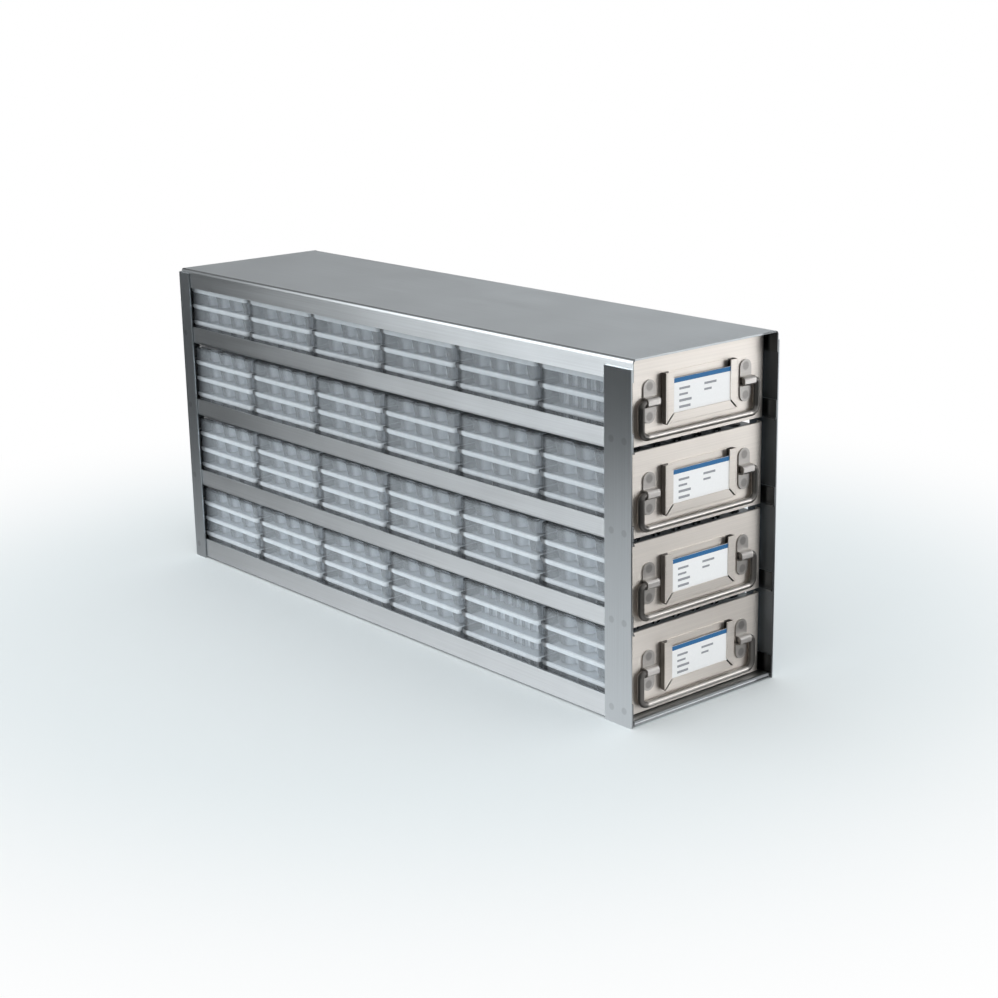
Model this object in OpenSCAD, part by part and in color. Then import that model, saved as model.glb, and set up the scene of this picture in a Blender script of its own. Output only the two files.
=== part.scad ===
// Freezer storage rack: a welded sheet-metal frame that holds sliding drawers of stacked microplates.
// +Z is up, the drawer fronts face -Y and +X is to the right of somebody who faces them.
// The origin is the middle of the footprint, on the surface that the rack stands on.
// The sizes are worked out from the plate outwards: plate, tray, shelf channel, post.

/* [Microplates] */
// Length of a plate, across the rack
plate_l = 127.76; // [120:0.01:135]
// Width of a plate, along the rack
plate_w = 85.48; // [75:0.01:95]
// Height of one plate
plate_h = 14.35; // [11:0.05:22]
// Height by which a plate nests in the one above it
plate_nest = 0.7; // [0.4:0.1:1.2]
// Height of the base flange of a plate
flange_h = 2.4; // [2:0.1:7]
// Step from the base flange in to the body of a plate
flange_step = 1.2; // [0.6:0.1:2]
// Wall of a plate
plate_wall = 1.2; // [0.8:0.1:2]
// Corner radius of a plate
plate_corner = 3.2; // [2.6:0.1:6]
// Distance from the long side of a plate to its field of large wells
large_margin = 4.14; // [3.5:0.02:8]
// Distance from the long side of a plate to its field of small wells
small_margin = 6.74; // [3.5:0.02:10]
// Web between two wells, on the deck
well_web = 2.6; // [2.2:0.1:3.4]
// Wall of a well
well_wall = 0.9; // [0.6:0.05:1.1]
// Gap between the wells and the deck of the plate below
well_gap = 0.7; // [0.3:0.1:2]
// Plates in one stack
plates_per_stack = 4; // [3:1:5]
// Stacks in one drawer
stacks = 6; // [3:1:7]
// Gap between two stacks
stack_gap = 2.32; // [2:0.02:6]

/* [Drawers] */
// Sheet thickness of the tray
tray_t = 0.8; // [0.6:0.1:1.2]
// Height of the low side walls of the tray
tray_side_h = 11; // [6:0.5:12]
// Distance from the top of the drawer front down to the top of the rear wall of the tray
rear_short = 13; // [6:0.5:30]
// Gap beside a plate, on each side, in the tray
plate_side_gap = 0.32; // [0.2:0.02:1]
// Gap in front of the first stack and behind the last one
plate_end_gap = 0.51; // [0.3:0.01:2]
// Width of a locating tab that is lanced up from the tray floor
tab_w = 12; // [8:1:20]
// Height of a locating tab above the tray floor
tab_h = 8; // [4:0.5:9]
// Distance from the middle of the tray to the middle of a locating tab
tab_x = 40; // [20:1:50]
// Sheet thickness of the drawer front
front_t = 1.2; // [0.8:0.1:1.6]
// Outer bend radius at the sides of the drawer front
front_bend = 2; // [1.8:0.1:3]
// Depth of the side returns of the drawer front
front_return = 3.5; // [3.2:0.1:6]
// Height of the drawer front above the top of the stacks
front_over = 2.1; // [0.5:0.1:3]
// Lower edge of the drawer front above the shelf
front_lift = 0.5; // [0.4:0.1:1]

/* [Label holder] */
// Outer width of the label holder
holder_w = 68; // [56:1:72]
// Gap between the label holder and the grip of the handle, hanging or turned up
grip_gap = 3.55; // [1:0.05:4]
// Distance that the label holder stands off the drawer front
holder_d = 4.8; // [3.4:0.1:5.2]
// Width of the flaps that hold the card
flap_w = 7; // [4:0.5:9]
// Sheet thickness of the label holder
holder_t = 0.8; // [0.6:0.1:1]
// Width of the mitred gaps between the flaps
mitre_gap = 1.2; // [0.4:0.1:1.5]
// Distance from the top of the label holder down to the top of the card
card_short = 4.5; // [1:0.1:8]
// Thickness of the card
card_t = 0.5; // [0.3:0.1:1]
// Gap beside the card in its holder
card_gap = 0.3; // [0.2:0.1:1]

/* [Bail handles] */
// Diameter of the handle wire
wire_d = 4.5; // [3:0.1:4.8]
// Radial clearance of the wire in its clips
wire_fit = 0.05; // [0.02:0.01:0.1]
// Gap between the wire and the drawer front
wire_gap = 0.6; // [0.3:0.05:0.8]
// Distance from the middle of the drawer front down to the pivot
pivot_drop = 0.5; // [0:0.1:3]
// Height of the grip above the shelf
grip_z = 6; // [4.5:0.1:8]
// Bend radius of the wire beside the clips
upper_bend = 3.5; // [3.1:0.1:3.7]
// Bend radius of the wire beside the grip
lower_bend = 5.5; // [3.5:0.1:8]
// Width of a handle clip
clip_w = 11; // [6:0.5:11.5]
// Length of a handle clip
clip_h = 29; // [22:0.5:32]
// Sheet thickness of a handle clip
clip_t = 1; // [0.8:0.1:1.2]
// Gap between the label holder and a clip
clip_gap = 6; // [5:0.1:8]
// Gap between a clip and the bend of the wire outside it
arm_gap = 0.2; // [0.2:0.1:3]
// Depth of the end of the wire inside its clip
stub_depth = 2; // [0.5:0.1:3]

/* [Frame] */
// Sheet thickness of the shelves and the top panel
sheet = 1.2; // [0.8:0.1:2]
// Outer bend radius of the shelves
shelf_bend = 2.2; // [2.1:0.1:4]
// Height of the side and rear flanges of a shelf
shelf_flange = 14; // [13:0.1:18]
// Outer bend radius of the top panel
top_bend = 3; // [2.1:0.1:5]
// Height of the side and rear flanges of the top panel
top_flange = 15; // [8:0.5:20]
// Gap in a bent corner of a shelf
corner_gap = 0.6; // [0.3:0.1:2]
// Height of the rim of the base shelf below its floor
rim_drop = 1.5; // [1.2:0.1:5]
// Thickness of the posts
post_t = 1.2; // [0.8:0.1:2.5]
// Width of the front posts
front_post_w = 25; // [15:1:40]
// Width of each leg of the rear posts
rear_post_w = 16; // [12:1:30]
// Outer bend radius of the rear posts
post_bend = 2.4; // [2:0.1:4]
// Distance from the top of the front posts to the top of the rack
front_post_short = 6.5; // [4:0.5:9]
// Distance from the top of the rear posts to the top of the rack
rear_post_short = 3; // [2:0.5:9]
// Height of the base rim above the feet of the posts
foot = 1.5; // [0.5:0.1:5]

/* [Clearances] */
// Gap under a tray, on its shelf
slide_gap = 0.3; // [0.3:0.05:0.5]
// Gap behind a tray that is pushed in
stop_gap = 0.3; // [0.3:0.05:1]
// Gap between a tray and the shelf flange on each side
drawer_side_gap = 2.6; // [0.5:0.1:5]
// Distance from the front edges of the rack back to the drawer fronts
recess = 9; // [6:0.5:15]
// Gap between a drawer front and the shelf above it
shelf_clear = 1.9; // [0.5:0.1:6]
// Distance from the back of the drawer fronts to the front edge of the shelf floors above the base
floor_setback = 4; // [1:0.5:8]
// Gap between the top drawer front and the top panel
top_clear = 1.3; // [0.3:0.05:3]

/* [Hidden] */
bays = 4;
$fn = 48;

// Across the rack
tray_in = plate_l + 2 * plate_side_gap;
tray_w = tray_in + 2 * tray_t;
channel_in = tray_w + 2 * drawer_side_gap;
shelf_w = channel_in + 2 * sheet;
rack_w = shelf_w + 2 * post_t;

// Along the rack, from the front edges backwards
plate_pitch = plate_w + stack_gap;
load_l = stacks * plate_w + (stacks - 1) * stack_gap;
tray_in_l = load_l + 2 * plate_end_gap;
rack_d = recess + front_t + 2 * tray_t + tray_in_l + stop_gap + sheet + post_t;
y_front = -rack_d / 2;
y_face = y_front + recess;
y_back = y_face + front_t;
y_stack = y_back + tray_t + plate_end_gap;
y_tray_end = y_back + 2 * tray_t + tray_in_l;
y_shelf_end = y_tray_end + stop_gap + sheet;
y_rear = rack_d / 2;

// Up the rack
stack_pitch = plate_h - plate_nest;
stack_h = (plates_per_stack - 1) * stack_pitch + plate_h;
plate_base = slide_gap + tray_t;
front_top = plate_base + stack_h + front_over;
bay_pitch = front_top + shelf_clear + sheet;
floor_1 = foot + rim_drop + sheet;
rack_h = floor_1 + (bays - 1) * bay_pitch + front_top + top_clear + sheet;

// Bends and cuts
tray_bend = tray_t + 0.3;
holder_bend = holder_t + 0.4;
tray_notch = 1.5;
tab_window = tab_h + tray_t;
rim_gap = 0.1;
seat_gap = 0.05;
pocket = flange_step + plate_wall;
deck_z = stack_pitch - plate_wall;
well_z = plate_nest + well_gap;
least_corner = 0.3;
lip_bend = min(shelf_bend, rim_drop + sheet);
cut = 1;

// Drawer hardware
y_wire = y_face - wire_gap - wire_d / 2;
y_flap = y_face - holder_d;
loop_r = wire_d / 2 + wire_fit;
pivot_z = (front_lift + front_top) / 2 - pivot_drop;
handle_drop = pivot_z - grip_z;
clip_x = holder_w / 2 + clip_gap + clip_w / 2;
arm_x = clip_x + clip_w / 2 + arm_gap + upper_bend;
holder_z = grip_z + wire_d / 2 + grip_gap;
holder_h = 2 * (pivot_z - holder_z);
card_h = holder_h - holder_bend - card_short;
tray_rear_h = front_top - rear_short - slide_gap;

DRAWER_NODES = ["tray", "front_panel", "label_holder", "label_card", "handle_clips", "handle", "plates"];

// Height of the shelf floor in bay k, where bay 1 is the lowest
function floor_z(k) = floor_1 + (k - 1) * bay_pitch;

module at_bay(k) {
    translate([0, 0, floor_z(k)]) children();
}

module both_sides() {
    for (side = [0, 1]) mirror([side, 0, 0]) children();
}

// Extrudes an XZ outline along Y, from y0 to y1
module along_y(y0, y1) {
    translate([0, y1, 0]) rotate([90, 0, 0]) linear_extrude(height = y1 - y0) children();
}

// Extrudes a YZ outline along X, from x0 to x1
module along_x(x0, x1) {
    translate([x0, 0, 0]) rotate([90, 0, 90]) linear_extrude(height = x1 - x0) children();
}

// Extrudes an XY outline up Z, from z0 to z1
module along_z(z0, z1) {
    translate([0, 0, z0]) linear_extrude(height = z1 - z0) children();
}

// Rectangle round x = 0 whose two lower corners have radius r
module cup_outline(w, h, r) {
    translate([-w / 2 + r, 0]) square([w - 2 * r, h]);
    translate([-w / 2, r]) square([w, h - r]);
    for (side = [-1, 1]) translate([side * (w / 2 - r), r]) circle(r);
}

// Folded channel, open at the top, that stands on y = 0
module channel_outline(w, h, t, r) {
    difference() {
        cup_outline(w, h, r);
        translate([0, t]) cup_outline(w - 2 * t, h, r - t);
    }
}

// Folded angle with its corner at the origin, one leg along +x and one along +y
module angle_outline(leg_x, leg_y, t, r) {
    difference() {
        union() {
            translate([r, 0]) square([leg_x - r, t]);
            translate([0, r]) square([t, leg_y - r]);
            intersection() {
                translate([r, r]) circle(r);
                square(r);
            }
        }
        translate([r, r]) circle(r - t);
    }
}

// Rectangle round the origin with four corners of radius r
module round_rect(w, d, r) {
    square([w - 2 * r, d], center = true);
    square([w, d - 2 * r], center = true);
    for (x = [-1, 1], y = [-1, 1]) translate([x * (w / 2 - r), y * (d / 2 - r)]) circle(r);
}

// Strip with round ends, lengthwise along y
module stadium(w, l) {
    square([w, l - w], center = true);
    for (side = [-1, 1]) translate([0, side * (l - w) / 2]) circle(w / 2);
}

// ---------------------------------------------------------------- frame

module top_panel() {
    y_bend = y_shelf_end - top_bend;
    color("lightsteelblue") translate([0, 0, rack_h]) mirror([0, 0, 1]) {
        along_y(y_front, y_bend) channel_outline(shelf_w, top_flange, sheet, top_bend);
        along_x(-channel_in / 2 + corner_gap, channel_in / 2 - corner_gap)
            translate([y_shelf_end, 0]) mirror([1, 0])
            angle_outline(2 * top_bend, top_flange, sheet, top_bend);
    }
}

// Shelves above the base: a channel with a rear flange that stops the drawer. Its floor is cut back
// behind the drawer fronts, from bend to bend, and its sides reach the front posts
module plain_shelf(k) {
    y_bend = y_shelf_end - shelf_bend;
    notch_w = channel_in - 2 * (shelf_bend - sheet);
    notch_l = recess + front_t + floor_setback;
    color("lightsteelblue") translate([0, 0, floor_z(k) - sheet]) {
        difference() {
            along_y(y_front, y_bend) channel_outline(shelf_w, shelf_flange, sheet, shelf_bend);
            translate([-notch_w / 2, y_front - cut, -cut]) cube([notch_w, notch_l + cut, sheet + 2 * cut]);
        }
        rear_flange(shelf_flange);
    }
}

module rear_flange(h) {
    along_x(-channel_in / 2 + corner_gap, channel_in / 2 - corner_gap)
        translate([y_shelf_end, 0]) mirror([1, 0])
        angle_outline(2 * shelf_bend, h, sheet, shelf_bend);
}

// Base shelf: its sides hem down to the rim and back up, and its front edge turns down to the rim
module base_shelf() {
    rim = rim_drop + sheet;
    color("lightsteelblue") translate([0, 0, foot]) {
        translate([0, 0, rim_drop]) {
            along_y(y_front + shelf_bend, y_shelf_end - shelf_bend)
                translate([-channel_in / 2, 0]) square([channel_in, sheet]);
            rear_flange(shelf_flange);
        }
        both_sides() {
            along_y(y_front, y_shelf_end - shelf_bend)
                translate([channel_in / 2, 0]) square([sheet, rim_drop + shelf_flange]);
            along_y(y_front, y_shelf_end - shelf_bend)
                translate([channel_in / 2 - sheet, 0]) square([sheet, rim]);
        }
        translate([0, 0, rim]) mirror([0, 0, 1])
            along_x(-channel_in / 2, channel_in / 2)
            translate([y_front, 0]) angle_outline(2 * shelf_bend, rim, sheet, lip_bend);
    }
}

module shelf(k) {
    if (k == 1) base_shelf();
    else plain_shelf(k);
}

module front_post(side) {
    color("gainsboro") mirror([side < 0 ? 1 : 0, 0, 0])
        translate([shelf_w / 2, y_front, 0]) cube([post_t, front_post_w, rack_h - front_post_short]);
}

module rear_post(side) {
    color("gainsboro") mirror([side < 0 ? 1 : 0, 0, 0])
        along_z(0, rack_h - rear_post_short) translate([rack_w / 2, y_rear]) rotate(180)
        angle_outline(rear_post_w, rear_post_w, post_t, post_bend);
}

// ---------------------------------------------------------------- drawers

// Low tray: a channel with a front tab behind the drawer front and a taller rear wall
module tray(k) {
    y_wall = y_back + front_return + tray_notch;
    y_bend = y_tray_end - tray_bend;
    front_tab_w = tray_w - 2 * (front_bend + tray_notch);
    color("silver") at_bay(k) translate([0, 0, slide_gap]) {
        difference() {
            along_y(y_wall, y_bend) channel_outline(tray_w, tray_side_h, tray_t, tray_bend);
            tab_places() translate([-tab_w / 2, 0, -cut]) cube([tab_w, tab_window, tray_t + 2 * cut]);
        }
        along_x(-tray_in / 2 + tray_notch, tray_in / 2 - tray_notch)
            translate([y_tray_end, 0]) mirror([1, 0])
            angle_outline(2 * tray_bend, tray_rear_h, tray_t, tray_bend);
        along_x(-front_tab_w / 2, front_tab_w / 2)
            translate([y_back, 0])
            angle_outline(y_wall - y_back + tray_bend, tray_side_h, tray_t, tray_bend);
        tab_places() translate([-tab_w / 2, -tray_t, 0]) cube([tab_w, tray_t, tab_window]);
    }
}

// Both tabs in the middle of each gap between two stacks
module tab_places() {
    for (i = [1:stacks - 1], side = [-1, 1])
        translate([side * tab_x, y_stack + i * plate_pitch - stack_gap / 2 + tray_t / 2, 0]) children();
}

module front_panel(k) {
    color("antiquewhite") at_bay(k) along_z(front_lift, front_top) translate([0, y_face])
        channel_outline(tray_w, front_t + front_return, front_t, front_bend);
}

// Back plate with three folded edges, whose flaps meet in mitred gaps at the lower corners
module label_holder(k) {
    z_top = holder_z + holder_h;
    color("antiquewhite") at_bay(k) difference() {
        union() {
            along_z(holder_z + holder_bend, z_top) both_sides() holder_side();
            along_x(-holder_w / 2 + holder_bend, holder_w / 2 - holder_bend) holder_bottom();
        }
        both_sides() translate([-holder_w / 2, y_flap - cut, holder_z]) rotate([0, -45, 0])
            translate([-cut, 0, -mitre_gap / 2]) cube([flap_w * 2, holder_t + cut, mitre_gap]);
    }
}

// Plan of one side of the label holder: half the back plate, the web and the flap
module holder_side() {
    w = holder_w / 2;
    translate([-w, y_face]) mirror([0, 1]) angle_outline(w, holder_d, holder_t, holder_bend);
    translate([-w, y_flap]) angle_outline(flap_w, holder_d / 2, holder_t, holder_bend);
}

// Upright section of the lower edge of the label holder
module holder_bottom() {
    translate([y_face, holder_z]) mirror([1, 0])
        angle_outline(holder_d, 2 * holder_bend, holder_t, holder_bend);
    translate([y_flap, holder_z]) angle_outline(holder_d / 2, flap_w, holder_t, holder_bend);
}

module label_card(k) {
    w = holder_w - 2 * (holder_bend + card_gap);
    color("white") at_bay(k) translate([-w / 2, y_flap + holder_t, holder_z + holder_bend])
        cube([w, card_t, card_h]);
}

module handle_clips(k) {
    color("silver") at_bay(k) translate([0, 0, pivot_z]) both_sides() intersection() {
        along_x(clip_x - clip_w / 2, clip_x + clip_w / 2) clip_outline();
        translate([clip_x, y_face, 0]) rotate([90, 0, 0]) translate([0, 0, -cut])
            linear_extrude(height = holder_d + 2 * cut) stadium(clip_w, clip_h);
    }
}

// Section of a clip: two flat feet on the drawer front and a loop round the wire
module clip_outline() {
    outer_r = loop_r + clip_t;
    difference() {
        union() {
            translate([y_face - clip_t, -clip_h / 2]) square([clip_t, clip_h]);
            translate([y_wire, -outer_r]) square([y_face - y_wire, 2 * outer_r]);
            translate([y_wire, 0]) circle(outer_r);
        }
        translate([y_wire, -loop_r]) square([y_face - y_wire + cut, 2 * loop_r]);
        translate([y_wire, 0]) circle(loop_r);
    }
}

// Bail handle: one bent wire, its two stubs held in the clips
module handle(k) {
    stub_in = clip_x - clip_w / 2 + stub_depth;
    color("silver") at_bay(k) translate([0, y_wire, pivot_z]) {
        both_sides() {
            wire_x(stub_in, arm_x - upper_bend, 0);
            wire_bend(arm_x, 0, upper_bend, false);
            translate([arm_x, 0, lower_bend - handle_drop])
                cylinder(d = wire_d, h = handle_drop - upper_bend - lower_bend);
            wire_bend(arm_x, -handle_drop, lower_bend, true);
        }
        wire_x(lower_bend - arm_x, arm_x - lower_bend, -handle_drop);
    }
}

module wire_x(x0, x1, z) {
    translate([x0, 0, z]) rotate([0, 90, 0]) cylinder(d = wire_d, h = x1 - x0);
}

// Quarter bend that joins an arm at x to a level run at z, which lies above it or below it
module wire_bend(x, z, r, below) {
    translate([x - r, 0, below ? z + r : z - r]) rotate([below ? -90 : 90, 0, 0])
        rotate_extrude(angle = 90) translate([r, 0]) circle(d = wire_d);
}

// One plate: base flange, body, raised deck, and the open skirt that nests on the plate below,
// a hair above its shoulder
module plate() {
    difference() {
        union() {
            plate_layer(0, flange_h, 0);
            plate_layer(0, stack_pitch - seat_gap, flange_step);
            plate_layer(0, plate_h, pocket + rim_gap);
        }
        plate_layer(-cut, deck_z, pocket);
    }
}

// Slab of a plate from z0 to z1, whose outline lies inset inside that of the base flange
module plate_layer(z0, z1, inset) {
    along_z(z0, z1)
        round_rect(plate_l - 2 * inset, plate_w - 2 * inset, max(plate_corner - inset, least_corner));
}

// Plate with a field of open wells, which hang from its deck
module welled_plate(rows, columns, margin) {
    pitch = min((plate_w - 2 * margin) / rows, (plate_l - 2 * margin) / columns);
    well_r = (pitch - well_web) / 2;
    difference() {
        union() {
            plate();
            along_z(well_z, deck_z) well_field(rows, columns, pitch) circle(well_r + well_wall);
        }
        along_z(well_z + well_wall, plate_h + cut) well_field(rows, columns, pitch) circle(well_r);
    }
}

module well_field(rows, columns, pitch) {
    for (row = [0:rows - 1], column = [0:columns - 1])
        translate([(column - (columns - 1) / 2) * pitch, (row - (rows - 1) / 2) * pitch]) children();
}

// Stack of plates, of which only the top one has its wells: each plate hides those of the one below it
module plate_stack(small_wells) {
    for (level = [0:plates_per_stack - 2]) translate([0, 0, level * stack_pitch]) plate();
    translate([0, 0, (plates_per_stack - 1) * stack_pitch]) {
        if (small_wells) welled_plate(8, 12, small_margin);
        else welled_plate(4, 6, large_margin);
    }
}

// Two stacks of the load have small wells: the front one at the top and the second one at the bottom
function small_wells_at(k, stack) = (k == bays && stack == 0) || (k == 1 && stack == 1);

module plates(k) {
    color("aliceblue", 0.6) at_bay(k) for (stack = [0:stacks - 1])
        translate([0, y_stack + plate_w / 2 + stack * plate_pitch, plate_base])
        plate_stack(small_wells_at(k, stack));
}

top_panel();
front_post(-1);  // post_front_left
front_post(1);  // post_front_right
rear_post(-1);  // post_rear_left
rear_post(1);  // post_rear_right
for (k = [1:bays]) {
    shelf(k);
    tray(k);
    front_panel(k);
    label_holder(k);
    label_card(k);
    handle_clips(k);
    handle(k);
    plates(k);
}
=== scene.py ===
"""Looks of the freezer storage rack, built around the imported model.

Metres, +Z up, the drawer fronts face -Y and +X is to the right of somebody who faces them.
The CAD nodes keep their shapes and get brushed steel or paper. This script's own pieces are the clear
microplates, which stand for the CAD's plain ones, and the print on the label cards.
"""
import math

import bpy
from mathutils import Matrix, Vector


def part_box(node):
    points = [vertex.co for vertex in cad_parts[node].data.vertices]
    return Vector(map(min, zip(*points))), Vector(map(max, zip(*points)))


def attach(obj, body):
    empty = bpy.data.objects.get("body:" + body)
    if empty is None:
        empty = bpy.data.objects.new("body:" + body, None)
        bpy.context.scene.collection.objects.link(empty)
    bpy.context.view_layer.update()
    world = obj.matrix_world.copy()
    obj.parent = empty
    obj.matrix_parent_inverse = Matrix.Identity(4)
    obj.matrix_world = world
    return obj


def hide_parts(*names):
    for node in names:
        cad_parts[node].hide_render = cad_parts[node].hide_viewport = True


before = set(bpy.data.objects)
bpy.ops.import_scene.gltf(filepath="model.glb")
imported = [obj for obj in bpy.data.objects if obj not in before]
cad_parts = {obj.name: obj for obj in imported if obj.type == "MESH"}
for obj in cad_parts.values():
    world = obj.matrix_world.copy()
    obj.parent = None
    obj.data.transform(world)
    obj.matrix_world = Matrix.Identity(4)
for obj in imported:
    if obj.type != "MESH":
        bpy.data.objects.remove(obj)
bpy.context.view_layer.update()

MM = 0.001
BAYS, STACKS, LEVELS = 4, 6, 4
# (bay, stack from the front) of each stack of plates with finer wells
FINE_STACKS = {(4, 0), (1, 1)}


# ---------------------------------------------------------------- shader nodes

def new_material(name):
    """A material with its node tree and its Principled shader."""
    material = bpy.data.materials.new(name)
    material.use_nodes = True
    tree = material.node_tree
    return material, tree, tree.nodes["Principled BSDF"]


def link(tree, source, target):
    tree.links.new(source, target)


def put(tree, value, socket):
    """Sets a socket to a number, or links another socket to it."""
    if isinstance(value, (int, float)):
        socket.default_value = value
    else:
        link(tree, value, socket)


def math_node(tree, operation, first, second=None):
    """A Math node whose inputs are numbers or sockets."""
    node = tree.nodes.new("ShaderNodeMath")
    node.operation = operation
    for socket, value in zip(node.inputs, (first, second)):
        if value is not None:
            put(tree, value, socket)
    return node.outputs[0]


def product(tree, *factors):
    result = factors[0]
    for factor in factors[1:]:
        result = math_node(tree, "MULTIPLY", result, factor)
    return result


def total(tree, *terms):
    result = terms[0]
    for term in terms[1:]:
        result = math_node(tree, "ADD", result, term)
    return result


def one_minus(tree, value):
    return math_node(tree, "SUBTRACT", 1.0, value)


def absolute(tree, value):
    return math_node(tree, "ABSOLUTE", value)


def negative(tree, value):
    return math_node(tree, "MULTIPLY", value, -1.0)


def split_xyz(tree, vector):
    split = tree.nodes.new("ShaderNodeSeparateXYZ")
    link(tree, vector, split.inputs[0])
    return split.outputs


def place(tree):
    """The x, y and z of a point of the rack, in metres."""
    return split_xyz(tree, tree.nodes.new("ShaderNodeTexCoord").outputs["Object"])


def step_between(tree, value, start, end, first=0.0, last=1.0):
    """Goes smoothly from the first to the last number while the value goes from start to end."""
    span = tree.nodes.new("ShaderNodeMapRange")
    span.interpolation_type = "SMOOTHSTEP"
    for socket, number in zip(("From Min", "From Max", "To Min", "To Max"), (start, end, first, last)):
        span.inputs[socket].default_value = number
    link(tree, value, span.inputs["Value"])
    return span.outputs[0]


def nearest(tree, value, spots):
    """Distance from the nearest of several places on a line."""
    result = None
    for spot in spots:
        gap = absolute(tree, math_node(tree, "SUBTRACT", value, spot))
        result = gap if result is None else math_node(tree, "MINIMUM", result, gap)
    return result


def round_marks(tree, first, second, radius):
    """Marks where two distances are both zero: 1 inside, and fading to 0 just outside the radius."""
    squares = total(tree, product(tree, first, first), product(tree, second, second))
    return step_between(tree, math_node(tree, "SQRT", squares), 0.7 * radius, 1.15 * radius, 1.0, 0.0)


def noise(tree, scale, detail=3.0, stretch=(1, 1, 1)):
    """Noise in object coordinates, in features per metre along each axis."""
    coords = tree.nodes.new("ShaderNodeTexCoord")
    mapping = tree.nodes.new("ShaderNodeMapping")
    mapping.inputs["Scale"].default_value = [scale * s for s in stretch]
    texture = tree.nodes.new("ShaderNodeTexNoise")
    texture.inputs["Scale"].default_value = 1.0
    texture.inputs["Detail"].default_value = detail
    link(tree, coords.outputs["Object"], mapping.inputs["Vector"])
    link(tree, mapping.outputs["Vector"], texture.inputs["Vector"])
    return texture.outputs["Fac"]


def ramp(tree, source, stops):
    """A colour ramp through stops of (position, colour)."""
    node = tree.nodes.new("ShaderNodeValToRGB")
    elements = node.color_ramp.elements
    for element, (position, colour) in zip(elements, stops):
        element.position = position
        element.color = (*colour, 1)
    link(tree, source, node.inputs["Fac"])
    return node.outputs["Color"]


def mottled(tree, source, colour, low, high):
    """A colour that goes with a noise from low to high times itself."""
    return ramp(tree, source, [(position, [channel * share for channel in colour])
                               for position, share in ((0.3, low), (0.7, high))])


def uneven(tree, source, middle, spread):
    """A number that goes with a noise by half the spread to either side."""
    return total(tree, product(tree, source, spread), middle - spread / 2)


def shaded(tree, tone, shade):
    """A colour socket times what shade gives, if there is one."""
    if shade is None:
        return tone
    scale = tree.nodes.new("ShaderNodeVectorMath")
    scale.operation = "SCALE"
    link(tree, tone, scale.inputs[0])
    link(tree, shade(tree), scale.inputs["Scale"])
    return scale.outputs[0]


def add_bump(tree, shader, height, strength):
    """Relief of a few hundredths of a millimetre."""
    bump = tree.nodes.new("ShaderNodeBump")
    bump.inputs["Strength"].default_value = strength
    bump.inputs["Distance"].default_value = 0.02 * MM
    link(tree, height, bump.inputs["Height"])
    link(tree, bump.outputs[0], shader.inputs["Normal"])


# ---------------------------------------------------------------- kinds of material
# The shade of a material is painted light and shade: the share of its colour that a point keeps, such as less
# in a dark crevice and more where a painted highlight falls.

# Features per metre of each noise
GRAIN_ACROSS, GRAIN_ALONG, STEEL_CLOUDS = 1400.0, 9.0, 22.0
PLASTIC_CLOUDS, PAPER_FIBRES = 140.0, 900.0
# How the grain and the clouds share the colour of steel
GRAIN_SHARE, CLOUD_SHARE = 0.65, 0.35
POLYSTYRENE_IOR = 1.59


def brushed_steel(name, colour, grain, roughness, anisotropy, contrast=0.06, bump=0.12, shade=None):
    """Rolled stainless sheet whose fine grain runs along one axis: 'x', 'y' or 'z'."""
    material, tree, shader = new_material(name)
    axis = "xyz".index(grain)
    stretch = [GRAIN_ACROSS] * 3
    stretch[axis] = GRAIN_ALONG
    streaks = noise(tree, 1.0, 2.0, stretch)
    clouds = noise(tree, STEEL_CLOUDS, 4.0)
    mixed = total(tree, product(tree, streaks, GRAIN_SHARE), product(tree, clouds, CLOUD_SHARE))
    tone = mottled(tree, mixed, colour, 1 - contrast, 1 + contrast)
    link(tree, shaded(tree, tone, shade), shader.inputs["Base Color"])
    shader.inputs["Metallic"].default_value = 1.0
    link(tree, uneven(tree, mixed, roughness, 0.12), shader.inputs["Roughness"])
    shader.inputs["Anisotropic"].default_value = anisotropy
    shader.inputs["Anisotropic Rotation"].default_value = 0.25
    tangent = tree.nodes.new("ShaderNodeCombineXYZ")
    tangent.inputs[axis].default_value = 1.0
    link(tree, tangent.outputs[0], shader.inputs["Tangent"])
    add_bump(tree, shader, streaks, bump)
    return material


def clear_plastic(name, colour, alpha, roughness, contrast=0.05, shade=None):
    """Moulded polystyrene that lets part of the light through."""
    material, tree, shader = new_material(name)
    clouds = noise(tree, PLASTIC_CLOUDS, 2.0)
    tone = mottled(tree, clouds, colour, 1 - contrast, 1 + contrast)
    link(tree, shaded(tree, tone, shade), shader.inputs["Base Color"])
    link(tree, uneven(tree, clouds, roughness, 0.1), shader.inputs["Roughness"])
    shader.inputs["Alpha"].default_value = alpha
    shader.inputs["IOR"].default_value = POLYSTYRENE_IOR
    return material


def paper(name, colour, shade=None):
    """Matt card or ink with a fine fibre."""
    material, tree, shader = new_material(name)
    fibres = noise(tree, PAPER_FIBRES, 5.0)
    tone = mottled(tree, fibres, colour, 0.97, 1.0)
    link(tree, shaded(tree, tone, shade), shader.inputs["Base Color"])
    shader.inputs["Roughness"].default_value = 0.55
    add_bump(tree, shader, fibres, 0.1)
    return material


# ---------------------------------------------------------------- painted shade and light of the rack

# Top of the base shelf and the distance from one shelf to the next
FLOOR_Z, PITCH_Z = 4.2 * MM, 61.6 * MM
FLOORS = [FLOOR_Z + PITCH_Z * bay for bay in range(BAYS)]
# Inner and outer side of the folded flanges, as distances from the rack's middle plane
FLANGE_INNER, FLANGE_OUTER = (66.2 * MM, 66.8 * MM), (67.8 * MM, 68.4 * MM)
# Front posts: inner side, middle, and the welds beside it and up the post
POST_INNER, POST_Y, POST_WELD = (68.9 * MM, 69.3 * MM), 257.5 * MM, 6.0 * MM
WELD_HEIGHTS = [11.0 * MM] + [floor + 7.0 * MM for floor in FLOORS[1:]]
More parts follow.
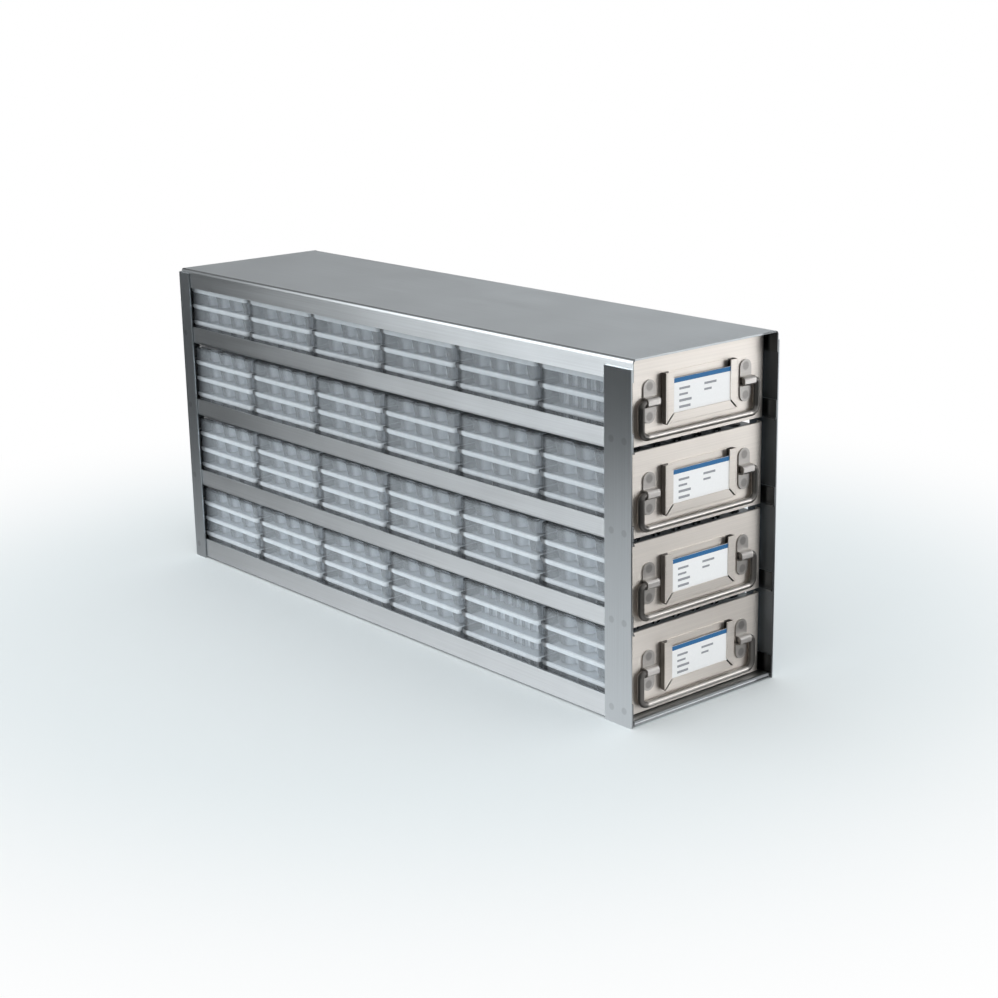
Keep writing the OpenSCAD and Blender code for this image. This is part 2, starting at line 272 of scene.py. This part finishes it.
# Handle clips: middle, height of the pivot above the shelf, and the welds above and below it
CLIP_X, PIVOT_UP, WELD_OFF = 45.5 * MM, 29.0 * MM, 10.0 * MM
# Label holder: back of its flaps, and the half width and lower edge of its window
FLAP_PLANE, WINDOW_HALF, WINDOW_UP = -265.2 * MM, 27.6 * MM, 18.7 * MM
# Stacks of plates: front of the first one, pitch, and where the painted shade of each starts towards the gap
# behind it
STACK_START, STACK_PITCH, STACK_DARK = -258.49 * MM, 87.80 * MM, 77.5 * MM
# Height above the shelf at which the deck of a stack's top plate starts
STACK_TOP_UP = (53.6 * MM, 54.4 * MM)


def above_floor(tree, z):
    """Height above the floor of the bay that a point is in."""
    return math_node(tree, "FLOORED_MODULO", math_node(tree, "SUBTRACT", z, FLOOR_Z), PITCH_Z)


def side_shade(tree):
    """Painted shade inside the flanges; outside, painted reflection that is duller at the upper rear and
    brighter at the upper front.

    The cut edges at the right-hand front get painted shade that dulls their highlight.
    """
    right, y, z = place(tree)
    x = absolute(tree, right)
    inside = product(tree, step_between(tree, x, *FLANGE_INNER),
                     step_between(tree, x, *FLANGE_OUTER, 1.0, 0.0))
    rear = product(tree, step_between(tree, y, 110.0 * MM, 230.0 * MM, 0.0, 0.30),
                   step_between(tree, z, 90.0 * MM, 130.0 * MM))
    front = product(tree, step_between(tree, y, 0.0, 70.0 * MM, 0.14, 0.0),
                    step_between(tree, z, 150.0 * MM, 190.0 * MM))
    outside = product(tree, step_between(tree, x, *FLANGE_OUTER), math_node(tree, "SUBTRACT", front, rear))
    cut_edge = product(tree, step_between(tree, right, 50.0 * MM, 55.0 * MM),
                       step_between(tree, y, -269.9 * MM, -269.5 * MM, 0.65, 0.0))
    light = total(tree, one_minus(tree, product(tree, inside, 0.75)), outside)
    return product(tree, light, one_minus(tree, cut_edge))


def top_shade(tree):
    """Painted light on the top panel: its flanges a little brighter than its face, and its round fold a little
    duller, tuning their reflections.
    """
    z = place(tree)[2]
    flange_to_fold = step_between(tree, z, 246.6 * MM, 247.4 * MM, 1.16, 0.78)
    fold_to_face = step_between(tree, z, 248.4 * MM, 249.4 * MM, 1.0, 1.28)
    return product(tree, flange_to_fold, fold_to_face, side_shade(tree))


def base_shade(tree):
    """Painted shade: the base is dark below the drawer front, and its lip is painted duller than its sides."""
    y = place(tree)[1]
    behind_front = step_between(tree, y, -258.5 * MM, -257.5 * MM, 0.0, 1.0)
    lip = step_between(tree, y, -267.0 * MM, -263.0 * MM, 0.60, 0.12)
    return product(tree, math_node(tree, "MAXIMUM", behind_front, lip), side_shade(tree))


def post_shade(tree):
    """Faint spot welds that hold the front posts to each flange, and painted shade on the inner side."""
    x, y, z = place(tree)
    across = nearest(tree, absolute(tree, y), [POST_Y - POST_WELD, POST_Y + POST_WELD])
    welds = round_marks(tree, across, nearest(tree, z, WELD_HEIGHTS), 2.6 * MM)
    inner = step_between(tree, absolute(tree, x), *POST_INNER, 0.3, 1.0)
    return product(tree, one_minus(tree, product(tree, welds, 0.16)), inner)


def clip_shade(tree):
    """Two dull spot welds in each foot of the handle clips, and a painted highlight that makes their loops
    brighter than their feet.
    """
    x, y, z = place(tree)
    across = nearest(tree, absolute(tree, x), [CLIP_X])
    up = nearest(tree, above_floor(tree, z), [PIVOT_UP - WELD_OFF, PIVOT_UP + WELD_OFF])
    welds = round_marks(tree, across, up, 3.2 * MM)
    loop = step_between(tree, y, -264.0 * MM, -263.2 * MM, 1.35, 1.0)
    return product(tree, one_minus(tree, product(tree, welds, 0.35)), loop)


def holder_shade(tree):
    """Painted shade in the channel behind the label holder's side flaps."""
    x, y, _ = place(tree)
    behind = step_between(tree, y, FLAP_PLANE - 0.2 * MM, FLAP_PLANE + 0.2 * MM)
    beside = step_between(tree, absolute(tree, x), WINDOW_HALF, WINDOW_HALF + 0.8 * MM)
    return one_minus(tree, product(tree, product(tree, behind, beside), 0.72))


def card_shade(tree):
    """Painted shade on the card where the flaps cover it."""
    x, _, z = place(tree)
    beside = step_between(tree, absolute(tree, x), WINDOW_HALF, WINDOW_HALF + 0.4 * MM, 1.0, 0.08)
    below = step_between(tree, above_floor(tree, z), WINDOW_UP - 0.5 * MM, WINDOW_UP, 0.08, 1.0)
    return product(tree, beside, below)


def wire_shade(tree):
    """Painted shade on the outer side of a handle's arms."""
    x, y, _ = place(tree)
    arm = step_between(tree, absolute(tree, x), 48.0 * MM, 50.5 * MM)
    outer = step_between(tree, y, -263.4 * MM, -262.4 * MM, 1.0, 0.0)
    return one_minus(tree, product(tree, product(tree, arm, outer), 0.72))


def stack_shade(tree):
    """Painted shade on the plates by the gap behind each stack and at its top, and painted light that makes
    them brighter lower in the rack.
    """
    _, y, z = place(tree)
    along = math_node(tree, "FLOORED_MODULO", math_node(tree, "SUBTRACT", y, STACK_START), STACK_PITCH)
    by_gap = step_between(tree, along, STACK_DARK, STACK_DARK + 3.0 * MM, 1.0, 0.25)
    by_height = step_between(tree, z, 20.0 * MM, 230.0 * MM, 1.12, 0.86)
    at_top = step_between(tree, above_floor(tree, z), *STACK_TOP_UP, 1.0, 0.5)
    return product(tree, by_gap, by_height, at_top)


def well_shade(tree):
    """Painted shade and light on a clear well: dark where its side faces along x, light where it faces along
    y, like a clear tube that looks dark through its middle and light at its edges.
    """
    normal = split_xyz(tree, tree.nodes.new("ShaderNodeNewGeometry").outputs["Normal"])
    by_side = step_between(tree, absolute(tree, normal[1]), 0.25, 0.75, 0.16, 1.0)
    return product(tree, by_side, stack_shade(tree))


# ---------------------------------------------------------------- materials of the CAD nodes

# POST_TONE is the frame's steel made about an eighth brighter, as painted light on the posts
FRAME_TONE, POST_TONE = (0.61, 0.645, 0.665), (0.68, 0.73, 0.76)
FRONT_TONE, CLIP_TONE = (0.76, 0.715, 0.665), (0.52, 0.50, 0.48)
TRAY_TONE, WIRE_TONE = (0.60, 0.62, 0.63), (0.56, 0.535, 0.505)

top_steel = brushed_steel("top_steel", FRAME_TONE, "y", 0.32, 0.9, shade=top_shade)
base_steel = brushed_steel("base_steel", FRAME_TONE, "y", 0.32, 0.9, shade=base_shade)
shelf_steel = brushed_steel("frame_steel_lengthwise", FRAME_TONE, "y", 0.32, 0.9, shade=side_shade)
post_steel = brushed_steel("frame_steel_upright", POST_TONE, "z", 0.38, 0.85, shade=post_shade)
front_steel = brushed_steel("front_steel", FRONT_TONE, "x", 0.45, 0.6)
holder_steel = brushed_steel("holder_steel", FRONT_TONE, "x", 0.45, 0.5, shade=holder_shade)
clip_steel = brushed_steel("clip_steel", CLIP_TONE, "x", 0.42, 0.2, shade=clip_shade)
tray_steel = brushed_steel("tray_steel", TRAY_TONE, "y", 0.35, 0.7)
wire_steel = brushed_steel("wire_steel", WIRE_TONE, "x", 0.40, 0.0, bump=0.05, shade=wire_shade)
card_paper = paper("card_paper", (0.93, 0.93, 0.93), shade=card_shade)


def dress(node, material):
    """Gives one CAD node one material all over."""
    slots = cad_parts[node].material_slots
    for slot in slots:
        slot.material = material
    if not slots:
        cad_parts[node].data.materials.append(material)


dress("top_panel", top_steel)
for corner in ("front_left", "front_right", "rear_left", "rear_right"):
    dress(f"post_{corner}", post_steel)
for bay in range(1, BAYS + 1):
    dress(f"shelf_{bay}", shelf_steel if bay > 1 else base_steel)
    dress(f"tray_{bay}", tray_steel)
    dress(f"front_panel_{bay}", front_steel)
    dress(f"label_holder_{bay}", holder_steel)
    dress(f"label_card_{bay}", card_paper)
    dress(f"handle_clips_{bay}", clip_steel)
    dress(f"handle_{bay}", wire_steel)


# ---------------------------------------------------------------- meshes

def rounded_ring(centre, length, width, radius, z, steps=4):
    """Points of a rectangle with round corners, counted round it from +x to +y."""
    points = []
    for quarter, (sx, sy) in enumerate([(1, 1), (-1, 1), (-1, -1), (1, -1)]):
        cx = centre[0] + sx * (length / 2 - radius)
        cy = centre[1] + sy * (width / 2 - radius)
        for i in range(steps + 1):
            angle = math.radians(90 * (quarter + i / steps))
            points.append((cx + radius * math.cos(angle), cy + radius * math.sin(angle), z))
    return points


def square_ring(centre, low, high, steps):
    """Points of a rectangle round a centre, on the same rays as those of a circle of as many points."""
    points = []
    for i in range(steps):
        angle = 2 * math.pi * i / steps
        x, y = math.cos(angle), math.sin(angle)
        reach = max(abs(x), abs(y))
        x, y = x / reach, y / reach
        points.append((centre[0] + x * (high[0] - centre[0] if x > 0 else centre[0] - low[0]),
                       centre[1] + y * (high[1] - centre[1] if y > 0 else centre[1] - low[1])))
    return points


def circle_ring(centre, radius, z, steps):
    angles = [2 * math.pi * i / steps for i in range(steps)]
    return [(centre[0] + radius * math.cos(a), centre[1] + radius * math.sin(a), z) for a in angles]


class Shape:
    """Collects closed shells, each face with a material number, and turns them into one object."""

    def __init__(self):
        self.points, self.faces, self.slots = [], [], []

    def ring(self, points):
        """Adds points, and gives their numbers."""
        start = len(self.points)
        self.points += points
        return list(range(start, start + len(points)))

    def face(self, corners, slot):
        self.faces.append(corners)
        self.slots.append(slot)

    def band(self, low, high, slot):
        """Quads between two rings."""
        count = len(low)
        for i in range(count):
            j = (i + 1) % count
            self.face([low[i], low[j], high[j], high[i]], slot)

    def loft(self, rings, slots):
        """Closed shell through rings of equally many points; slots holds one number per band."""
        rings = [self.ring(points) for points in rings]
        self.face(rings[0][::-1], slots[0])
        for low, high, slot in zip(rings, rings[1:], slots):
            self.band(low, high, slot)
        self.face(rings[-1], slots[-1])

    def tube(self, rings, slots):
        """Closed shell like a pipe: its last ring joins back to the first one."""
        rings = [self.ring(points) for points in rings]
        for low, high, slot in zip(rings, rings[1:] + rings[:1], slots):
            self.band(low, high, slot)

    def box(self, low, high, slot=0):
        corners = [(low[0], low[1]), (high[0], low[1]), (high[0], high[1]), (low[0], high[1])]
        self.loft([[(x, y, z) for x, y in corners] for z in (low[2], high[2])], [slot])

    def build(self, name, materials, body, smooth=None):
        """Makes the object, which rides on a body. Edges up to the smooth angle are shaded round."""
        mesh = bpy.data.meshes.new(name)
        mesh.from_pydata(self.points, [], self.faces)
        for material in materials:
            mesh.materials.append(material)
        mesh.polygons.foreach_set("material_index", self.slots)
        if smooth is not None:
            mesh.polygons.foreach_set("use_smooth", [True] * len(self.faces))
            mesh.set_sharp_from_angle(angle=math.radians(smooth))
        mesh.update()
        obj = bpy.data.objects.new(name, mesh)
        bpy.context.scene.collection.objects.link(obj)
        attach(obj, body)
        return obj


# ---------------------------------------------------------------- microplates

PLATE_W, PLATE_H, PLATE_NEST = 85.48 * MM, 14.35 * MM, 0.75 * MM
PLATE_WALL, PLATE_CORNER, LEAST_CORNER = 1.2 * MM, 3.2 * MM, 0.3 * MM
FLANGE_H, FLANGE_STEP, FLANGE_SLOPE = 2.4 * MM, 1.2 * MM, 0.3 * MM
# Inset of the raised deck, and height of the pale band below the shoulder: thicker plastic, made lighter with
# painted light
RIM_INSET, EDGE_BAND = 2.5 * MM, 1.1 * MM
POCKET = FLANGE_STEP + PLATE_WALL
SHOULDER = PLATE_H - PLATE_NEST
CEILING = SHOULDER - PLATE_WALL
# Wells, from their feet to just below the deck
WELL_WEB, WELL_WALL, WELL_BASE, WELL_TOP = 2.6 * MM, 0.9 * MM, 1.4 * MM, CEILING - 0.1 * MM
# Half the thickness of a rib, and where it starts, as a share of a well's radius
RIB_HALF, RIB_START = 0.4 * MM, 0.75
# Inner wall at the rear end of a drawer's last stack
REAR_GAP, REAR_WALL = 0.5 * MM, 0.8 * MM

SKIN, EDGE, WELL, WEB = 0, 1, 2, 3
# plate_edge and plate_web are lighter and less clear than plate_skin: partly thicker plastic, partly painted
# light on edges and ribs
PLATE_MATERIALS = [
    clear_plastic("plate_skin", (0.68, 0.74, 0.79), 0.22, 0.12, shade=stack_shade),
    clear_plastic("plate_edge", (0.80, 0.86, 0.91), 0.85, 0.20, shade=stack_shade),
    clear_plastic("plate_well", (0.72, 0.77, 0.83), 0.92, 0.25, 0.10, shade=well_shade),
    clear_plastic("plate_web", (0.84, 0.89, 0.94), 0.95, 0.30, shade=stack_shade),
]

# Insets and heights round a plate's section, with the material of the band after each
CLOSED_SECTION = [(POCKET, CEILING), (POCKET, 0), (0, 0), (0, FLANGE_H),
                  (FLANGE_STEP, FLANGE_H + FLANGE_SLOPE), (FLANGE_STEP, SHOULDER - EDGE_BAND),
                  (FLANGE_STEP, SHOULDER), (RIM_INSET, SHOULDER), (RIM_INSET, PLATE_H)]
CLOSED_BANDS = [SKIN, EDGE, EDGE, EDGE, SKIN, EDGE, EDGE, EDGE]
OPEN_SECTION = [(POCKET, 0), (0, 0), (0, FLANGE_H), (FLANGE_STEP, FLANGE_H + FLANGE_SLOPE),
                (FLANGE_STEP, SHOULDER - EDGE_BAND), (FLANGE_STEP, SHOULDER), (POCKET, SHOULDER)]
OPEN_BANDS = [EDGE, EDGE, EDGE, SKIN, SKIN, EDGE, SKIN]


class Wells:
    """The field of wells of one kind of plate.

    mouth is the radius of a well at the deck, and taper its radius at the foot as a share of that.
    """

    def __init__(self, rows, columns, margin, taper, sides):
        self.rows, self.columns, self.sides = rows, columns, sides
        self.pitch = (PLATE_W - 2 * margin) / rows
        self.mouth = (self.pitch - WELL_WEB) / 2
        self.taper = taper

    def spot(self, centre, row, column):
        return (centre[0] + (column - (self.columns - 1) / 2) * self.pitch,
                centre[1] + (row - (self.rows - 1) / 2) * self.pitch)

    def spots(self, centre):
        return [self.spot(centre, row, column) for row in range(self.rows) for column in range(self.columns)]


LARGE_WELLS = Wells(4, 6, 4.14 * MM, 0.80, 16)
SMALL_WELLS = Wells(8, 12, 6.74 * MM, 0.85, 8)


def plate_rings(size, centre, z, section):
    """Outlines of a plate at the insets and heights of its section."""
    return [rounded_ring(centre, size[0] - 2 * inset, size[1] - 2 * inset,
                         max(PLATE_CORNER - inset, LEAST_CORNER), z + height) for inset, height in section]


def add_closed_plate(shape, size, centre, z, wells):
    """A plate that another one covers: skirt and deck as one shell, and plain wells below the deck."""
    shape.loft(plate_rings(size, centre, z, CLOSED_SECTION), CLOSED_BANDS)
    for spot in wells.spots(centre):
        shape.loft([circle_ring(spot, wells.mouth * wells.taper, z + WELL_BASE, wells.sides),
                    circle_ring(spot, wells.mouth, z + WELL_TOP, wells.sides)], [WELL])


def add_open_plate(shape, size, centre, z, wells):
    """The top plate of a stack: an open skirt, and a deck whose wells are open cups."""
    shape.tube(plate_rings(size, centre, z, OPEN_SECTION), OPEN_BANDS)
    half = (size[0] / 2 - RIM_INSET, size[1] / 2 - RIM_INSET)
    for row in range(wells.rows):
        for column in range(wells.columns):
            add_cup(shape, centre, half, z, wells, row, column)


def add_cup(shape, centre, half, z, wells, row, column):
    """One cell of the deck, which is one closed shell, with the cup below its round mouth."""
    top, under, base = z + PLATE_H, z + CEILING, z + WELL_BASE
    last_column, last_row, sides = wells.columns - 1, wells.rows - 1, wells.sides
    x, y = wells.spot(centre, row, column)
    west = centre[0] - half[0] if column == 0 else x - wells.pitch / 2
    east = centre[0] + half[0] if column == last_column else x + wells.pitch / 2
    south = centre[1] - half[1] if row == 0 else y - wells.pitch / 2
    north = centre[1] + half[1] if row == last_row else y + wells.pitch / 2
    cell = square_ring((x, y), (west, south), (east, north), sides)
    upper, lower = (shape.ring([(a, b, level) for a, b in cell]) for level in (top, under))

    def circle(share, wall, level):
        return shape.ring(circle_ring((x, y), wells.mouth * share + wall, level, sides))

    mouth, floor = circle(1.0, 0.0, top), circle(wells.taper, 0.0, base + WELL_WALL)
    neck, foot = circle(1.0, WELL_WALL, under), circle(wells.taper, WELL_WALL, base)
    shape.band(upper, mouth, EDGE)
    shape.band(mouth, floor, WELL)
    shape.band(neck, lower, SKIN)
    shape.band(foot, neck, WELL)
    shape.face(floor, WELL)
    shape.face(foot[::-1], WELL)
    for side, outside in enumerate((column == last_column, row == last_row, column == 0, row == 0)):
        if outside:
            add_cell_wall(shape, upper, lower, side)


def add_cell_wall(shape, upper, lower, side):
    """Outer wall of a cell of the deck: side 0 faces +x, and the others follow round it."""
    sides = len(upper)
    quarter = sides // 4
    start = side * quarter - quarter // 2
    for step in range(quarter):
        i, j = (start + step) % sides, (start + step + 1) % sides
        shape.face([lower[i], lower[j], upper[j], upper[i]], SKIN)


def add_ribs(shape, centre, z, wells):
    """The thin ribs that join the outermost wells of a plate."""
    bottom, top = z + WELL_BASE, z + WELL_TOP
    start = wells.mouth * RIB_START
    end = wells.pitch - start
    for row in (0, wells.rows - 1):
        for column in range(wells.columns - 1):
            x, y = wells.spot(centre, row, column)
            shape.box((x + start, y - RIB_HALF, bottom), (x + end, y + RIB_HALF, top), WEB)
    for column in (0, wells.columns - 1):
        for row in range(wells.rows - 1):
            x, y = wells.spot(centre, row, column)
            shape.box((x - RIB_HALF, y + start, bottom), (x + RIB_HALF, y + end, top), WEB)


def plates(bay):
    """The stacks of plates of one drawer, in the room of the CAD's plain ones."""
    low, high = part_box(f"plates_{bay}")
    size = (high.x - low.x, PLATE_W)
    pitch_y = (high.y - low.y - PLATE_W) / (STACKS - 1)
    pitch_z = (high.z - low.z - PLATE_H) / (LEVELS - 1)
    rear = high.y - POCKET - REAR_GAP
    shape = Shape()
    for stack in range(STACKS):
        wells = SMALL_WELLS if (bay, stack) in FINE_STACKS else LARGE_WELLS
        centre = ((low.x + high.x) / 2, low.y + PLATE_W / 2 + stack * pitch_y)
        for level in range(LEVELS):
            z = low.z + level * pitch_z
            add_plate = add_open_plate if level == LEVELS - 1 else add_closed_plate
            add_plate(shape, size, centre, z, wells)
            add_ribs(shape, centre, z, wells)
            if stack == STACKS - 1:
                shape.box((low.x + RIM_INSET, rear - REAR_WALL, z + WELL_BASE),
                          (high.x - RIM_INSET, rear, z + WELL_TOP), WELL)
    obj = shape.build(f"clear_plates_{bay}", PLATE_MATERIALS, f"drawer_{bay}", smooth=35)
    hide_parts(f"plates_{bay}")


# ---------------------------------------------------------------- print on the cards

INK = 0.04 * MM
STRIPE_HALF, STRIPE_TOP, STRIPE_BOTTOM = 27.5 * MM, 0.05 * MM, 3.1 * MM
# In millimetres: left end, length, distance below the top of the card, and thickness
CARD_BARS = [(-21.3, 10.0, 6.8, 1.5), (-21.3, 8.0, 10.9, 1.4), (-21.3, 11.5, 14.8, 1.7),
             (-21.3, 10.5, 19.0, 1.7), (2.2, 11.5, 6.8, 1.5), (2.2, 7.0, 10.9, 1.4)]
stripe_ink = paper("stripe_ink", (0.015, 0.14, 0.34))
bar_ink = paper("bar_ink", (0.32, 0.33, 0.35))


def card_print(bay):
    """A blue stripe and a few plain grey bars, printed on the card."""
    low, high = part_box(f"label_card_{bay}")
    face = low.y
    shape = Shape()
    shape.box((-STRIPE_HALF, face - INK, high.z - STRIPE_BOTTOM), (STRIPE_HALF, face, high.z - STRIPE_TOP), 0)
    for x, length, drop, thick in CARD_BARS:
        top = high.z - drop * MM
        shape.box((x * MM, face - INK, top - thick * MM), ((x + length) * MM, face, top), 1)
    shape.build(f"card_print_{bay}", [stripe_ink, bar_ink], f"drawer_{bay}")


for bay in range(1, BAYS + 1):
    plates(bay)
    card_print(bay)


# ---------------------------------------------------------------- stage and light

WHITE, BACKDROP = (1.0, 1.0, 1.0), (0.98, 0.99, 1.0)
FLOOR_HALF = 80.0
FLOOR_NEAR, FLOOR_FAR = (0.84, 0.89, 0.90), (0.97, 0.98, 0.98)
# How bright steel shows the parts of the studio
TABLE_SIDE, TABLE_FRONT, TABLE_LEAST = 0.75, 1.037, 0.03
OVERHEAD, ZENITH, FILL, SKY_LEAST = 0.444, 0.35, 0.9, 0.02
LEFT_BOX, LEFT_FILL, RIGHT_BOX = 3.0, 1.3, 3.99
# The even light on the rack, and what comes on top of it from the upper left
EVEN_LIGHT, LEFT_LIGHT = 0.92, 0.25


def light_path(tree, ray):
    return tree.nodes.new("ShaderNodeLightPath").outputs[ray]


def mix_shader(tree, factor, first, second):
    mix = tree.nodes.new("ShaderNodeMixShader")
    link(tree, factor, mix.inputs["Fac"])
    link(tree, first, mix.inputs[1])
    link(tree, second, mix.inputs[2])
    return mix.outputs[0]


def glow(tree, kind, colour, strength):
    """An Emission or Background shader whose strength is a number or a socket."""
    node = tree.nodes.new(f"ShaderNode{kind}")
    node.inputs["Color"].default_value = (*colour, 1)
    put(tree, strength, node.inputs["Strength"])
    return node.outputs[0]


def facing(tree, direction, target, start, end):
    """How far a world direction lies towards another, from 0 at cosine start to 1 at cosine end."""
    dot = tree.nodes.new("ShaderNodeVectorMath")
    dot.operation = "DOT_PRODUCT"
    link(tree, direction, dot.inputs[0])
    dot.inputs[1].default_value = Vector(target).normalized()
    return step_between(tree, dot.outputs["Value"], start, end)


def painted_table_reflection(tree):
    """Painted reflection: how brightly the white table top glows where steel reflects it, bright beside the
    rack on the left, in front on the right and behind on the right, and dark elsewhere.
    """
    x, y, _ = place(tree)
    left, front = negative(tree, x), negative(tree, y)
    beside = product(tree, step_between(tree, left, 0.425, 0.901, 1.0, 0.0),
                     step_between(tree, y, -0.3, 0.744, 1.0, 0.0), step_between(tree, y, -0.6, -0.35),
                     step_between(tree, left, -0.15, 0.05), TABLE_SIDE)
    before = product(tree, step_between(tree, x, 0.3, 0.6), step_between(tree, front, 0.15, 0.35), TABLE_FRONT)
    behind = product(tree, step_between(tree, x, 0.1, 0.25), step_between(tree, y, -0.3, 0.0), TABLE_SIDE)
    return total(tree, beside, before, behind, TABLE_LEAST)


def backdrop_in_steel(tree, direction):
    """How bright steel shows the backdrop: flagged overhead and behind the camera, with two soft boxes."""
    x, y, z = split_xyz(tree, direction)
    left = negative(tree, x)
    overhead = product(tree, step_between(tree, z, 0.111, 0.294), OVERHEAD)
    zenith = product(tree, step_between(tree, z, 0.45, 0.75), ZENITH)
    left_box = product(tree, step_between(tree, left, 0.05, 0.35),
                       step_between(tree, y, 0.781, 0.811, 1.0, 0.0), step_between(tree, y, -0.45, -0.05),
                       step_between(tree, y, 0.10, 0.40, LEFT_FILL, LEFT_BOX),
                       step_between(tree, z, 0.5, 0.85, 1.0, 0.0))
    right_box = product(tree, facing(tree, direction, (0.72, -0.66, -0.042), 0.915, 0.943), RIGHT_BOX)
    right_fill = product(tree, step_between(tree, x, 0.1, 0.3), step_between(tree, y, -0.2, 0.0),
                         step_between(tree, y, 0.5, 0.65, 1.0, 0.0), FILL)
    back_fill = product(tree, facing(tree, direction, (0.0, 1.0, 0.0), 0.93, 0.98), FILL)
    front_fill = product(tree, facing(tree, direction, (0.0, -1.0, 0.0), 0.90, 0.97), FILL)
    return total(tree, overhead, zenith, left_box, right_box, right_fill, back_fill, front_fill, SKY_LEAST)


def studio_floor():
    """White table top that takes the rack's shadow, and shines as the backdrop does further away. In
    reflections it shows no shadow but a painted glow instead.
    """
    mesh = bpy.data.meshes.new("floor")
    corners = [(sx * FLOOR_HALF, sy * FLOOR_HALF, 0) for sx, sy in ((-1, -1), (1, -1), (1, 1), (-1, 1))]
    mesh.from_pydata(corners, [], [(0, 1, 2, 3)])
    material, tree, shader = new_material("floor_white")
    coords = tree.nodes.new("ShaderNodeTexCoord")
    distance = tree.nodes.new("ShaderNodeVectorMath")
    distance.operation = "LENGTH"
    link(tree, coords.outputs["Object"], distance.inputs[0])
    far = step_between(tree, distance.outputs["Value"], 0.3, 1.2)
    link(tree, ramp(tree, far, [(0.0, FLOOR_NEAR), (1.0, FLOOR_FAR)]), shader.inputs["Base Color"])
    shader.inputs["Roughness"].default_value = 0.9
    shader.inputs["Specular IOR Level"].default_value = 0.1
    away = step_between(tree, distance.outputs["Value"], 0.32, 0.70)
    seen = product(tree, light_path(tree, "Is Camera Ray"), away)
    surface = mix_shader(tree, seen, shader.outputs[0], glow(tree, "Emission", WHITE, 1.0))
    in_steel = glow(tree, "Emission", BACKDROP, painted_table_reflection(tree))
    link(tree, mix_shader(tree, light_path(tree, "Is Glossy Ray"), surface, in_steel),
         tree.nodes["Material Output"].inputs["Surface"])
    mesh.materials.append(material)
    floor = bpy.data.objects.new("floor", mesh)
    bpy.context.scene.collection.objects.link(floor)


def studio_world():
    """White backdrop that lights the rack evenly. Steel shows it too, apart from where flags darken it."""
    world = bpy.data.worlds.new("studio")
    bpy.context.scene.world = world
    world.use_nodes = True
    tree = world.node_tree
    direction = tree.nodes.new("ShaderNodeTexCoord").outputs["Generated"]
    backdrop = glow(tree, "Background", WHITE, 1.0)
    from_left = product(tree, facing(tree, direction, (-0.8, -0.3, 0.5), 0.2, 1.0), LEFT_LIGHT)
    even = glow(tree, "Background", BACKDROP, total(tree, from_left, EVEN_LIGHT))
    seen = math_node(tree, "MAXIMUM", light_path(tree, "Is Camera Ray"),
                     light_path(tree, "Is Transmission Ray"))
    lit = mix_shader(tree, seen, even, backdrop)
    in_steel = glow(tree, "Background", BACKDROP, backdrop_in_steel(tree, direction))
    link(tree, mix_shader(tree, light_path(tree, "Is Glossy Ray"), lit, in_steel),
         tree.nodes["World Output"].inputs["Surface"])
    tree.nodes.remove(tree.nodes["Background"])


# ---------------------------------------------------------------- camera

# Fitted to the rack's edges in the photo: place, then azimuth, elevation and roll, then the focal length
CAMERA_MM = (-908.0, -1127.7, 498.8)
CAMERA_DEGREES = (-40.28, 15.78, -1.07)
FOCAL_PIXELS, IMAGE_PIXELS = 1936.0, 998.0


def camera():
    azimuth, elevation, roll = (math.radians(angle) for angle in CAMERA_DEGREES)
    forward = Vector((-math.sin(azimuth) * math.cos(elevation), math.cos(azimuth) * math.cos(elevation),
                      -math.sin(elevation)))
    right = forward.cross(Vector((0, 0, 1))).normalized()
    up = right.cross(forward)
    rolled_right = math.cos(roll) * right + math.sin(roll) * up
    rolled_up = -math.sin(roll) * right + math.cos(roll) * up
    data = bpy.data.cameras.new("camera")
    data.sensor_width = 36.0
    data.lens = FOCAL_PIXELS * data.sensor_width / IMAGE_PIXELS
    data.clip_start, data.clip_end = 0.01, 200.0
    obj = bpy.data.objects.new("camera", data)
    axes = Matrix((rolled_right, rolled_up, -forward)).transposed()
    obj.matrix_world = Matrix.Translation(Vector(CAMERA_MM) * MM) @ axes.to_4x4()
    bpy.context.scene.collection.objects.link(obj)
    bpy.context.scene.camera = obj


studio_floor()
studio_world()
camera()
bpy.context.scene.view_settings.view_transform = "Standard"
